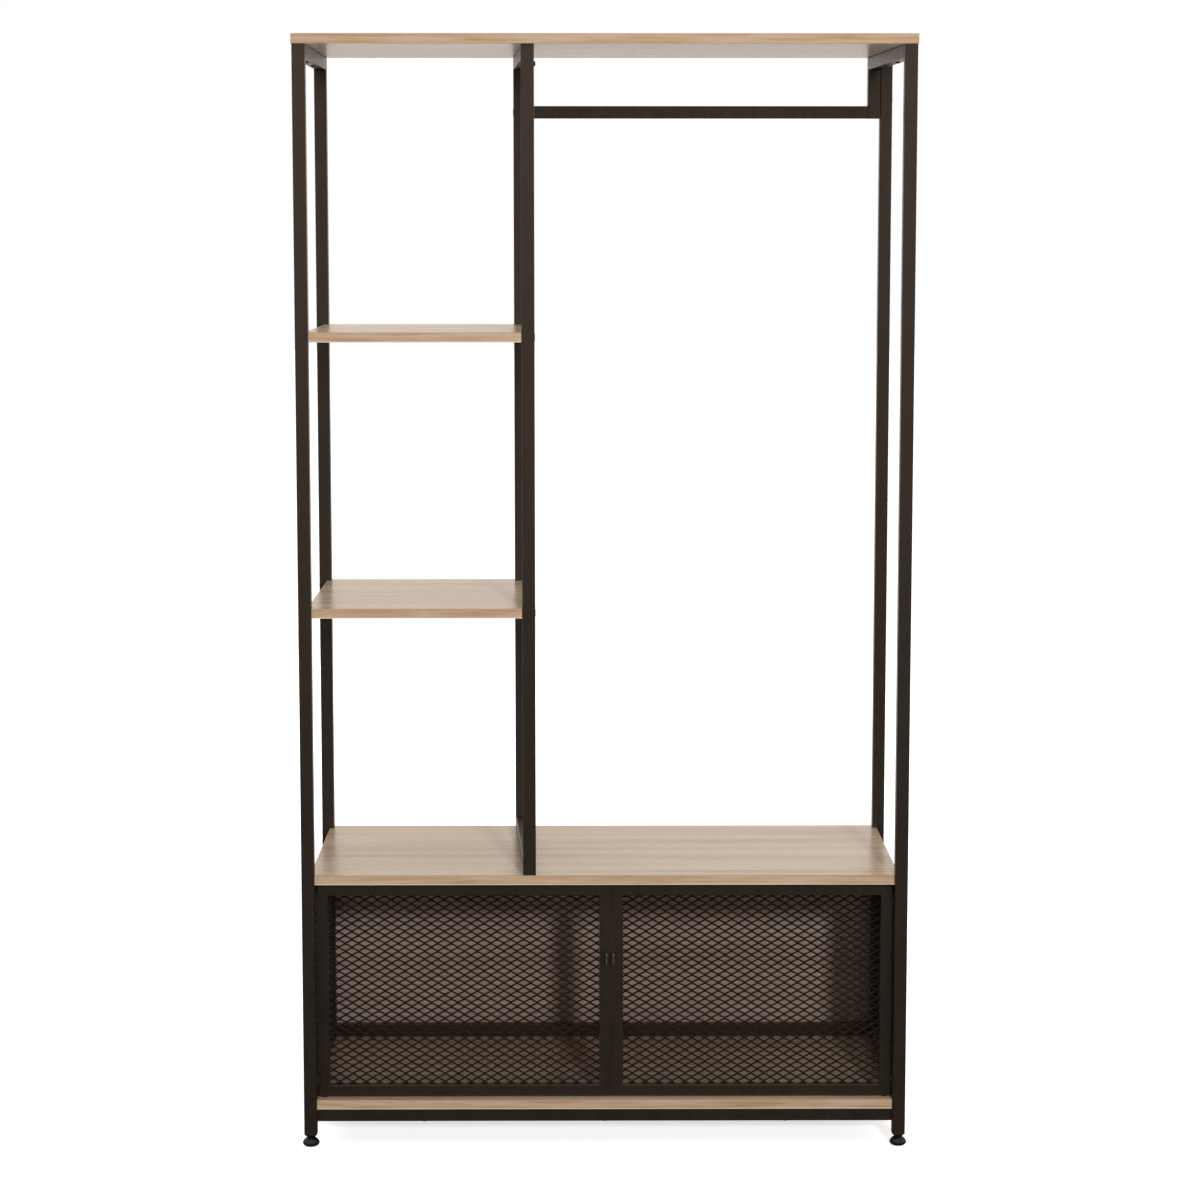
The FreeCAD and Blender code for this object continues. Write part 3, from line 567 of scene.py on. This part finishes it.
def levelling_foot(node):
    """A bun-shaped pad with a narrow neck, turned on its stud.

    The outline is a quarter ellipse from the floor out to the widest ring. From there to
    the neck it goes in with cos t and up with sin t, both raised to the slope, and then
    up the straight stud.
    """
    low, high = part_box(node)
    turn = np.linspace(0, np.pi / 2, outline_points)
    inward = np.maximum(np.cos(turn[1:]), 0.0) ** pad_slope
    radii = np.concatenate([
        pad_foot_radius + (pad_radius - pad_foot_radius) * np.sin(turn),
        neck_radius + (pad_radius - neck_radius) * inward,
        [stud_radius, stud_radius],
    ])
    levels = np.concatenate([
        low.z + pad_widest_level * (1 - np.cos(turn)),
        low.z + pad_widest_level + (neck_level - pad_widest_level) * np.sin(turn[1:]) ** pad_slope,
        [low.z + neck_level, high.z],
    ])
    middle = (low + high) / 2
    rings = level_rings(middle.x, middle.y, radii, levels, np.full(len(levels), circle))
    piece = mesh_piece(node + "_turned", *closed_skin(rings), "foot_plastic", node + "_body", node)
    smooth(piece)


def plug_taper(node, side):
    """The underside of a post's plug, which narrows from the tube's square to the foot's neck.

    Its half side goes evenly from the tube's to the neck's, and its squareness from 9 to 2.
    """
    low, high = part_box(node)
    middle = (low + high) / 2
    share = np.linspace(0, 1, taper_rings)
    halves = taper_top_half + (neck_radius - taper_top_half) * share
    levels = taper_top_level + (neck_level - taper_top_level) * share
    squareness = taper_squareness + (circle - taper_squareness) * share
    rings = level_rings(middle.x, middle.y, halves, levels, squareness)
    piece = mesh_piece(side + "_plug_taper", *closed_skin(rings), "black_plastic", "frame")
    smooth(piece)


for corner in ("left_front", "right_front", "left_rear", "right_rear"):
    levelling_foot(corner + "_foot")
    plug_taper(corner + "_post", corner)


def gap_shade_strip():
    """A black strip on the meeting edge of the left door, which fills the gap between the doors. It is
    a dark part put where there is only shade in the gap.

    It is a box between two rectangles, one at its foot and one at its top.
    """
    low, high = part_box("left_door_meeting_stile")
    left, right = high.x, high.x + strip_thickness
    front, back = low.y + strip_setback, high.y - strip_setback
    outline = np.array([(left, front), (right, front), (right, back), (left, back)])
    rings = np.zeros((2, 4, 3))
    rings[:, :, :2] = outline
    rings[0, :, 2] = low.z + strip_end_gap
    rings[1, :, 2] = high.z - strip_end_gap
    mesh_piece("gap_shade_strip", *closed_skin(rings), "black_plastic", "left_door")


gap_shade_strip()


def plain_floor():
    """A large pale floor that fades into the white surroundings and takes the unit's shadow.

    The camera sees glowing paper. Rough surfaces get the light that a duller floor throws
    back, and glossy ones mirror it dark in front of the unit and pale behind it.
    """
    data = bpy.data.meshes.new("floor")
    corners = [(x * floor_half, y * floor_half, 0) for x, y in ((-1, -1), (1, -1), (1, 1), (-1, 1))]
    data.from_pydata(corners, [], [(0, 1, 2, 3)])
    made, tree, shader = new_material("floor_paper")
    grain = noise(tree, object_space(tree, paper_grain))
    paper = ramp(tree, grain, noise_span, (paper_dark, paper_light))
    tree.links.new(paper, shader.inputs["Base Color"])
    shader.inputs["Roughness"].default_value = paper_roughness
    shader.inputs["Specular IOR Level"].default_value = paper_specular
    shader.inputs["Emission Color"].default_value = (*white, 1.0)
    shader.inputs["Emission Strength"].default_value = floor_glow
    shaded = tree.nodes.new("ShaderNodeBsdfDiffuse")
    shaded.inputs["Color"].default_value = (floor_shade, floor_shade, floor_shade, 1.0)
    mirrored = tree.nodes.new("ShaderNodeEmission")
    mirrored.inputs["Color"].default_value = (*mirrored_tint, 1.0)
    behind = remap(tree, object_part(tree, "Y"), mirrored_front_floor, mirrored_back, floor_turns_pale)
    tree.links.new(behind, mirrored.inputs["Strength"])
    path = tree.nodes.new("ShaderNodeLightPath")
    output = shader.outputs["BSDF"].links[0].to_node
    bounce = either(
        tree, path.outputs["Is Glossy Ray"], shaded.outputs["BSDF"], mirrored.outputs["Emission"]
    )
    seen = either(tree, path.outputs["Is Camera Ray"], bounce, shader.outputs["BSDF"])
    tree.links.new(seen, output.inputs["Surface"])
    data.materials.append(made)
    floor = bpy.data.objects.new("floor", data)
    bpy.context.scene.collection.objects.link(floor)


def surroundings():
    """White all round to the camera, and a level of its own for rough and for glossy surfaces.

    Rough surfaces get a dim room with a bright ceiling. Glossy ones mirror a pale front and
    back and a brighter ceiling, in a warmer white.
    """
    world = bpy.data.worlds.new("surroundings")
    bpy.context.scene.world = world
    world.use_nodes = True
    tree = world.node_tree
    tree.nodes.clear()
    output = tree.nodes.new("ShaderNodeOutputWorld")
    light = tree.nodes.new("ShaderNodeBackground")
    coords = tree.nodes.new("ShaderNodeTexCoord")
    parts = tree.nodes.new("ShaderNodeSeparateXYZ")
    tree.links.new(coords.outputs["Generated"], parts.inputs["Vector"])

    def level(axis, span, low, high):
        return remap(tree, parts.outputs[axis], low, high, span, eased=True)

    path = tree.nodes.new("ShaderNodeLightPath")
    strength = tree.nodes.new("ShaderNodeMix")
    tree.links.new(path.outputs["Is Glossy Ray"], strength.inputs["Factor"])
    tree.links.new(level("Z", ceiling_span, room_light, overhead_light), strength.inputs["A"])
    brightest = tree.nodes.new("ShaderNodeMath")
    brightest.operation = "MAXIMUM"
    tree.links.new(level("Y", front_to_back, mirrored_front, mirrored_back), brightest.inputs[0])
    tree.links.new(level("Z", mirrored_ceiling_span, 0.0, mirrored_overhead), brightest.inputs[1])
    tree.links.new(brightest.outputs["Value"], strength.inputs["B"])
    tree.links.new(strength.outputs["Result"], light.inputs["Strength"])
    tinted = mixed(tree, white, mirrored_tint, path.outputs["Is Glossy Ray"], "MIX")
    tree.links.new(tinted, light.inputs["Color"])
    seen = tree.nodes.new("ShaderNodeBackground")
    seen.inputs["Color"].default_value = (*white, 1.0)
    split = either(
        tree, path.outputs["Is Camera Ray"], light.outputs["Background"], seen.outputs["Background"]
    )
    tree.links.new(split, output.inputs["Surface"])


def soft_light(name, place, width, height, power):
    """A rectangular lamp that looks at the middle of the unit and isn't mirrored in it."""
    data = bpy.data.lights.new(name, "AREA")
    data.shape = "RECTANGLE"
    data.size = width
    data.size_y = height
    data.energy = power
    lamp = bpy.data.objects.new(name, data)
    lamp.location = place
    lamp.visible_glossy = False
    lamp.rotation_euler = (Vector(aim) - Vector(place)).to_track_quat("-Z", "Y").to_euler()
    bpy.context.scene.collection.objects.link(lamp)


def place_camera():
    """The camera in front of the unit, tilted a little down."""
    data = bpy.data.cameras.new("camera")
    data.lens = camera_lens
    data.sensor_width = camera_sensor
    data.shift_y = camera_shift_y
    made = bpy.data.objects.new("camera", data)
    made.location = (camera_x, camera_y, camera_z)
    made.rotation_euler = (math.pi / 2 - camera_pitch, 0.0, camera_yaw)
    bpy.context.scene.collection.objects.link(made)
    bpy.context.scene.camera = made


plain_floor()
surroundings()
soft_light("key", key_place, key_width, key_height, key_power)
soft_light("rear", rear_place, rear_size, rear_size, rear_power)
place_camera()

scene = bpy.context.scene
scene.view_settings.view_transform = "Standard"
scene.view_settings.look = "None"
